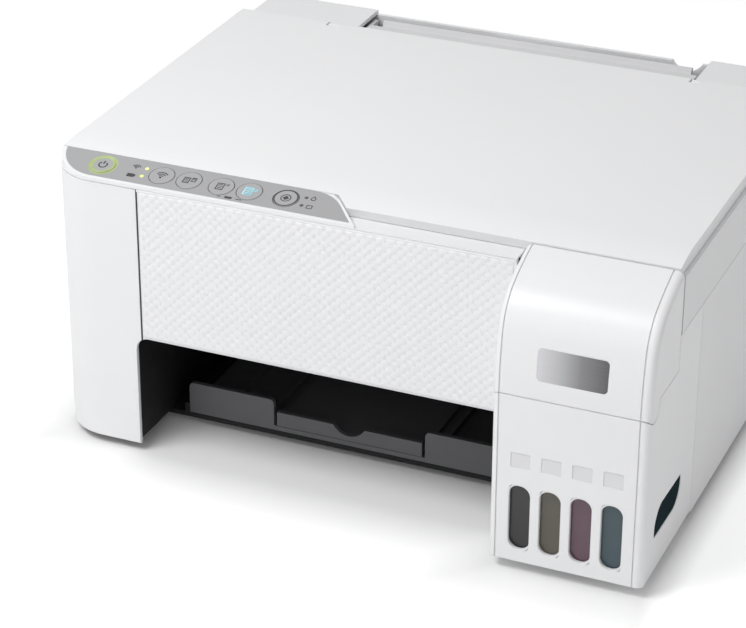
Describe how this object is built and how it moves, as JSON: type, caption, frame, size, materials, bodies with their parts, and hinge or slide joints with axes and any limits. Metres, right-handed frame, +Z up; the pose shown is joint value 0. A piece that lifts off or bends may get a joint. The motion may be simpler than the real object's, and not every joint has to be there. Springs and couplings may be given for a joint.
{
  "type": "ink tank printer",
  "caption": "White desktop inkjet printer with a flatbed scanner lid, sloping control panel, rear paper feeder, front output tray and a refillable ink tank at the right corner.",
  "frame": {"origin": "middle of the footprint on the table, under the rubber feet", "axes": "+X to the printer's right as its user sees it, +Y to the back, +Z up"},
  "size_m": [0.375, 0.347, 0.179],
  "materials": {
    "white_shell": "fine matt grain",
    "black_plastic": "matt",
    "grey_plastic": "matt",
    "panel_grey": "satin",
    "lamp": "clear lens",
    "rubber": "matt",
    "tank_plastic": "translucent moulding",
    "ink_black": "liquid",
    "ink_yellow": "liquid",
    "ink_magenta": "liquid",
    "ink_cyan": "liquid",
    "cap_plastic": "matt",
    "badge": "brushed",
    "steel": "zinc plated",
    "motor_metal": "plated can",
    "gear_plastic": "acetal",
    "board": "solder resist",
    "platen_glass": "clear",
    "pad_foam": "soft foam under a white film"
  },
  "bodies": {
    "housing": {"base_pan": "black_plastic", "rubber_feet": "rubber", "left_side_cover": "white_shell", "right_side_cover": "white_shell", "rear_cover": "white_shell", "front_panel": "white_shell", "tank_housing": "white_shell", "ink_tank": "tank_plastic", "ink_black": "ink_black", "ink_yellow": "ink_yellow", "ink_magenta": "ink_magenta", "ink_cyan": "ink_cyan", "main_frame": "black_plastic", "chassis": "steel", "carriage_shaft": "steel", "carriage_belt": "rubber", "carriage_motor": "motor_metal", "feed_motor": "motor_metal", "platen": "black_plastic", "maintenance_station": "black_plastic", "main_board": "board", "power_supply": "black_plastic", "ac_inlet": "black_plastic", "feeder_hopper": "black_plastic", "housing_screws": "steel"},
    "scanner_unit": {"scanner_tray": "white_shell", "scanner_bezel": "white_shell", "scanner_glass": "platen_glass", "scan_guide_rod": "steel", "control_panel": "panel_grey", "status_lamps": "lamp"},
    "lid": {"document_lid": "white_shell", "lid_pad": "pad_foam"},
    "scan_sensor": {"scan_sensor": "black_plastic"},
    "power_button": {"power_button": "panel_grey"},
    "wireless_button": {"wireless_button": "panel_grey"},
    "status_button": {"status_button": "panel_grey"},
    "mono_copy_button": {"mono_copy_button": "panel_grey"},
    "colour_copy_button": {"colour_copy_button": "panel_grey"},
    "stop_button": {"stop_button": "panel_grey"},
    "tank_cover": {"tank_cover": "white_shell", "tank_badge": "badge"},
    "tank_cap_black": {"tank_cap_black": "cap_plastic"},
    "tank_cap_yellow": {"tank_cap_yellow": "cap_plastic"},
    "tank_cap_magenta": {"tank_cap_magenta": "cap_plastic"},
    "tank_cap_cyan": {"tank_cap_cyan": "cap_plastic"},
    "output_tray": {"output_tray": "grey_plastic"},
    "tray_extension": {"tray_extension": "grey_plastic"},
    "paper_support": {"paper_support": "grey_plastic"},
    "feeder_guard": {"feeder_guard": "grey_plastic"},
    "edge_guide": {"edge_guide": "grey_plastic"},
    "print_carriage": {"print_carriage": "black_plastic", "print_head": "steel"},
    "drive_pulley": {"drive_pulley": "gear_plastic"},
    "idler_pulley": {"idler_pulley": "gear_plastic"},
    "feed_roller": {"feed_roller": "steel"},
    "exit_roller": {"exit_roller": "steel"},
    "idler_gear": {"idler_gear": "gear_plastic"},
    "motor_pinion": {"motor_pinion": "gear_plastic"},
    "pickup_roller": {"pickup_roller": "rubber"}
  },
  "joints": [
    {"name": "scanner_lift", "type": "hinge", "parent": "housing", "child": "scanner_unit", "pos_m": [0, 0.117, 0.164], "axis": [-1, 0, 0], "range_deg": [0, 30]},
    {"name": "lid_hinge", "type": "hinge", "parent": "scanner_unit", "child": "lid", "pos_m": [0, 0.1195, 0.17515], "axis": [-1, 0, 0], "range_deg": [0, 85]},
    {"name": "sensor_travel", "type": "slide", "parent": "scanner_unit", "child": "scan_sensor", "axis": [1, 0, 0], "range_m": [0, 0.28]},
    {"name": "power_press", "type": "slide", "parent": "scanner_unit", "child": "power_button", "axis": [0, 0.2419, -0.9703], "range_m": [0, 0.0006], "stiffness_N_per_m": 300},
    {"name": "wireless_press", "type": "slide", "parent": "scanner_unit", "child": "wireless_button", "axis": [0, 0.2419, -0.9703], "range_m": [0, 0.0006], "stiffness_N_per_m": 300},
    {"name": "status_press", "type": "slide", "parent": "scanner_unit", "child": "status_button", "axis": [0, 0.2419, -0.9703], "range_m": [0, 0.0006], "stiffness_N_per_m": 300},
    {"name": "mono_copy_press", "type": "slide", "parent": "scanner_unit", "child": "mono_copy_button", "axis": [0, 0.2419, -0.9703], "range_m": [0, 0.0006], "stiffness_N_per_m": 300},
    {"name": "colour_copy_press", "type": "slide", "parent": "scanner_unit", "child": "colour_copy_button", "axis": [0, 0.2419, -0.9703], "range_m": [0, 0.0006], "stiffness_N_per_m": 300},
    {"name": "stop_press", "type": "slide", "parent": "scanner_unit", "child": "stop_button", "axis": [0, 0.2419, -0.9703], "range_m": [0, 0.0006], "stiffness_N_per_m": 300},
    {"name": "tank_cover_hinge", "type": "hinge", "parent": "housing", "child": "tank_cover", "pos_m": [0.1435, -0.1675, 0.114], "axis": [1, 0, 0], "range_deg": [0, 80]},
    {"name": "tank_cap_black_hinge", "type": "hinge", "parent": "housing", "child": "tank_cap_black", "pos_m": [0.1167, -0.1335, 0.109], "axis": [-1, 0, 0], "range_deg": [0, 90]},
    {"name": "tank_cap_yellow_hinge", "type": "hinge", "parent": "housing", "child": "tank_cap_yellow", "pos_m": [0.1341, -0.1335, 0.109], "axis": [-1, 0, 0], "range_deg": [0, 90]},
    {"name": "tank_cap_magenta_hinge", "type": "hinge", "parent": "housing", "child": "tank_cap_magenta", "pos_m": [0.1515, -0.1335, 0.109], "axis": [-1, 0, 0], "range_deg": [0, 90]},
    {"name": "tank_cap_cyan_hinge", "type": "hinge", "parent": "housing", "child": "tank_cap_cyan", "pos_m": [0.1689, -0.1335, 0.109], "axis": [-1, 0, 0], "range_deg": [0, 90]},
    {"name": "tray_slide", "type": "slide", "parent": "housing", "child": "output_tray", "axis": [0, -1, 0], "range_m": [0, 0.11]},
    {"name": "extension_slide", "type": "slide", "parent": "output_tray", "child": "tray_extension", "axis": [0, -1, 0], "range_m": [0, 0.095]},
    {"name": "support_slide", "type": "slide", "parent": "housing", "child": "paper_support", "axis": [0, 0.454, 0.891], "range_m": [0, 0.08]},
    {"name": "guard_hinge", "type": "hinge", "parent": "housing", "child": "feeder_guard", "pos_m": [0, 0.138, 0.1665], "axis": [1, 0, 0], "range_deg": [0, 85]},
    {"name": "guide_slide", "type": "slide", "parent": "housing", "child": "edge_guide", "axis": [1, 0, 0], "range_m": [0, 0.1]},
    {"name": "carriage_travel", "type": "slide", "parent": "housing", "child": "print_carriage", "axis": [-1, 0, 0], "range_m": [0, 0.23]},
    {"name": "drive_pulley_spin", "type": "hinge", "parent": "housing", "child": "drive_pulley", "pos_m": [-0.154, 0.042, 0.104], "axis": [0, 1, 0], "range_deg": [-10, 2100]},
    {"name": "idler_pulley_spin", "type": "hinge", "parent": "housing", "child": "idler_pulley", "pos_m": [0.16, 0.042, 0.104], "axis": [0, 1, 0], "range_deg": [-10, 2100]},
    {"name": "feed_spin", "type": "hinge", "parent": "housing", "child": "feed_roller", "pos_m": [0, 0.03, 0.054], "axis": [1, 0, 0], "continuous": true},
    {"name": "exit_spin", "type": "hinge", "parent": "housing", "child": "exit_roller", "pos_m": [0, -0.045, 0.054], "axis": [1, 0, 0], "continuous": true},
    {"name": "idler_gear_spin", "type": "hinge", "parent": "housing", "child": "idler_gear", "pos_m": [-0.139, -0.0075, 0.054], "axis": [1, 0, 0], "continuous": true},
    {"name": "pinion_spin", "type": "hinge", "parent": "housing", "child": "motor_pinion", "pos_m": [-0.139, 0.054, 0.054], "axis": [1, 0, 0], "continuous": true},
    {"name": "pickup_spin", "type": "hinge", "parent": "housing", "child": "pickup_roller", "pos_m": [0, 0.09977, 0.08544], "axis": [1, 0, 0], "continuous": true}
  ],
  "couplings": [
    {"joint": "drive_pulley_spin", "follows": "carriage_travel", "rad_per_m": 152.67},
    {"joint": "idler_pulley_spin", "follows": "carriage_travel", "rad_per_m": 152.67},
    {"joint": "idler_gear_spin", "follows": "feed_spin", "ratio": -0.92308},
    {"joint": "exit_spin", "follows": "feed_spin", "ratio": 1},
    {"joint": "pinion_spin", "follows": "feed_spin", "ratio": -3}
  ]
}
